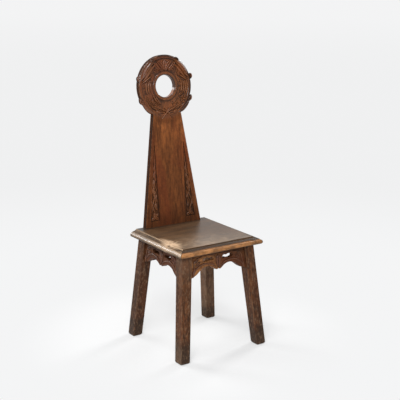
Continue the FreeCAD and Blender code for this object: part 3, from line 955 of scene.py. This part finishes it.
ring_left += [
    leaf(arc_line(111.5, 166, 111), 20, 9.0, shoulder_section, rows=44, around=30),
    leaf([(-104, -36), (-96, -60), (-76, -84), (-54, -100)], 15, 7.4, hollow_section, rows=34),
    leaf([(-60, -34), (-50, -50), (-34, -70)], 8, 6.6, stem_section),
    leaf([(-49, -36), (-40, -52), (-26, -72)], 8, 6.6, stem_section),
    leaf([(-66, -46), (-60, -62), (-42, -80)], 13, 7.0),
    leaf([(-86, -36), (-76, -60), (-60, -80)], 12, 6.4, hollow_section),
]
ring_forms = moved(mirrored(ring_pairs) + ring_middle + ring_right + ring_left, ring_height / mm)
carving("ring_carving", carved_plank_oak, plank_face, -field_depth / mm, ring_forms)

panel_pairs = [
    leaf([(66, 26), (79, 35), (96, 41)], 13, 4.0),
    leaf([(102, 26), (89, 33), (76, 47)], 12, 4.0),
    leaf([(70, 52), (78, 43), (94, 54)], 10, 3.6),
    leaf([(84, 28), (86, 44), (84, 62)], 9, 4.2),
    stem([(75, 32), (84, 58), (92, 82), (84, 108), (78, 130), (66, 153)], 5.4, 4.6),
    stem([(96, 60), (84, 82), (76, 104), (86, 130), (86, 150)], 4.2, 3.8),
    leaf([(90, 66), (99, 84), (92, 110)], 10, 3.8),
    leaf([(70, 62), (76, 76), (74, 96)], 10, 3.8),
    leaf([(68, 96), (74, 110), (70, 130)], 9, 3.6),
    bud([(80, 128), (84, 143), (80, 160)], 17, 5.0),
    leaf([(73, 148), (81, 166), (75, 188)], 13, 4.4),
    leaf([(86, 156), (84, 172), (78, 190)], 7, 3.6),
    leaf([(68, 180), (76, 197), (71, 216)], 11, 4.2),
    leaf([(78, 190), (78, 206), (73, 222)], 6, 3.4),
    leaf([(67, 208), (74, 227), (69, 247)], 9, 4.0),
    leaf([(68, 240), (71, 256), (68.5, 272)], 5, 3.4),
    stem([(70, 160), (73, 210), (70.5, 250), (68.5, 300)], 3.4, 3.6),
]
carving("panel_carving", carved_plank_oak, plank_face, -panel_depth / mm, mirrored(panel_pairs))

# The shaped aprons, from the middle of the seat's underside: a leaf on the pendant, a band
# that follows the arches into the wings and sprays over the openings
apron_middle = [leaf([(0, -18), (1, -42), (0, -68)], 24, 4.0, rows=30, around=26)]
apron_pairs = [
    stem([(10, -66), (24, -52), (44, -46), (66, -44), (88, -50), (106, -64), (117, -82)], 6.5, 3.2),
    stem([(70, -16), (92, -20), (107, -32), (111, -54), (112, -80)], 5.5, 2.8),
    leaf([(82, -32), (92, -42), (106, -46)], 12, 3.0),
    leaf([(12, -13), (28, -12), (50, -13)], 8, 2.4),
    leaf([(88, -24), (98, -32), (100, -42)], 8, 2.6),
    bud([(118, -62), (115, -76), (118, -89)], 10, 3.2),
]
front_forms = apron_middle + mirrored(apron_pairs)
side_forms = moved(front_forms, 0, share=0.92)
carving("front_apron_carving", carved_front_oak, front_face, 0, front_forms)
carving("left_apron_carving", carved_side_oak, left_face, 0, side_forms)
carving("right_apron_carving", carved_side_oak, right_face, 0, side_forms)

# Stage: a pale floor, soft lamps and the camera

scene = bpy.context.scene
floor_reach = 60
lamp_aim = Vector((0, 0, 0.6))
photo_width_in_pixels = 400
focal_length_in_pixels = 969.018
sensor_width_in_mm = 36


def pale_paper():
    """The floor is lit near the chair, where it takes the shadows, and shines evenly further off."""
    paper = Finish("pale_paper")
    across, back = paper.place.parts()[:2]
    reach = (across * across + back * back) ** 0.5
    matt = paper.node("ShaderNodeBsdfDiffuse", {}, {"Color": (0.75, 0.75, 0.75, 1)})
    # Painted light: the glow is brightest under the chair, where it lifts the chair's shadow, and varies
    # further off.
    glow = paper.blend(reach.step(0.05, 0.28), (0.975, 0.975, 0.975), (0.905, 0.91, 0.915))
    glow = paper.blend(reach.step(1.3, 3.0), glow, (0.868, 0.872, 0.876))
    glow = paper.blend(reach.step(8.0, 22.0), glow, (0.898, 0.90, 0.905))
    seen, reflected = paper.seen()
    # Painted reflection: the glow shows darker in reflections towards the front.
    glow = paper.blend(0.5 * reflected * back.step(-0.4, -1.6), glow, (0, 0, 0))
    white = paper.node("ShaderNodeEmission", {}, {"Color": glow})
    share = seen * (0.42 + 0.45 * reach.step(0.26, 0.06) + 0.58 * reach.step(0.33, 0.72))
    shown = paper.node("ShaderNodeMixShader", {}, {0: share, 1: matt, 2: white})
    paper.node("ShaderNodeOutputMaterial", {}, {"Surface": shown})
    return paper.owner


def lay_floor():
    """A flat square under the chair, far wider than the picture."""
    mesh = bpy.data.meshes.new("floor")
    square = bmesh.new()
    bmesh.ops.create_grid(square, x_segments=1, y_segments=1, size=floor_reach)
    square.to_mesh(mesh)
    square.free()
    floor = bpy.data.objects.new("floor", mesh)
    scene.collection.objects.link(floor)
    mesh.materials.append(pale_paper())


def hang_sky():
    """An even sky, pale where it is seen, and darker where a finish mirrors it, most at the front."""
    scene.world = bpy.data.worlds.new("studio")
    sky = Nodes(scene.world)
    front = sky.node("ShaderNodeTexCoord").output("Generated").parts()[1].step(0.3, -0.5)
    seen, reflected = sky.seen()
    level = 0.44 + 0.46 * seen * (1 - reflected * (0.2 + 0.7 * front))
    colour = sky.blend(level, (0, 0, 0), (0.98, 0.99, 1.0))
    light = sky.node("ShaderNodeBackground", {}, {"Color": colour})
    sky.node("ShaderNodeOutputWorld", {}, {"Surface": light})


def lamp(name, place, size, power):
    """A soft square lamp, aimed a little above the chair's middle."""
    light = bpy.data.lights.new(name, "AREA")
    light.size = size
    light.energy = power
    holder = bpy.data.objects.new(name, light)
    scene.collection.objects.link(holder)
    holder.location = place
    aim = lamp_aim - holder.location
    holder.rotation_euler = aim.to_track_quat("-Z", "Y").to_euler()


def place_camera():
    """The camera stands where the photograph was taken from."""
    place = Vector((-2.05511, -2.96922, 1.47323))
    ahead = Vector((0.558006, 0.792542, -0.245981))
    right = Vector((0.819467, -0.572983, 0.012825))
    turned = Matrix((right, right.cross(ahead), -ahead)).transposed().to_4x4()
    camera_data = bpy.data.cameras.new("camera")
    camera_data.sensor_width = sensor_width_in_mm
    camera_data.lens = focal_length_in_pixels / photo_width_in_pixels * sensor_width_in_mm
    camera_data.clip_end = 200
    camera = bpy.data.objects.new("camera", camera_data)
    scene.collection.objects.link(camera)
    camera.matrix_world = Matrix.Translation(place) @ turned
    scene.camera = camera


lay_floor()
hang_sky()
lamp("back_left", (-1.3, 2.1, 1.5), 0.7, 20)
lamp("back_high", (-0.65, 2.3, 2.45), 0.6, 18)
lamp("right", (2.4, 0.75, 1.9), 0.7, 38)
lamp("front_left", (-1.9, -2.3, 2.2), 1.2, 62)
lamp("above", (-0.7, -0.5, 3.0), 0.7, 26)
place_camera()
scene.view_settings.view_transform = "Standard"
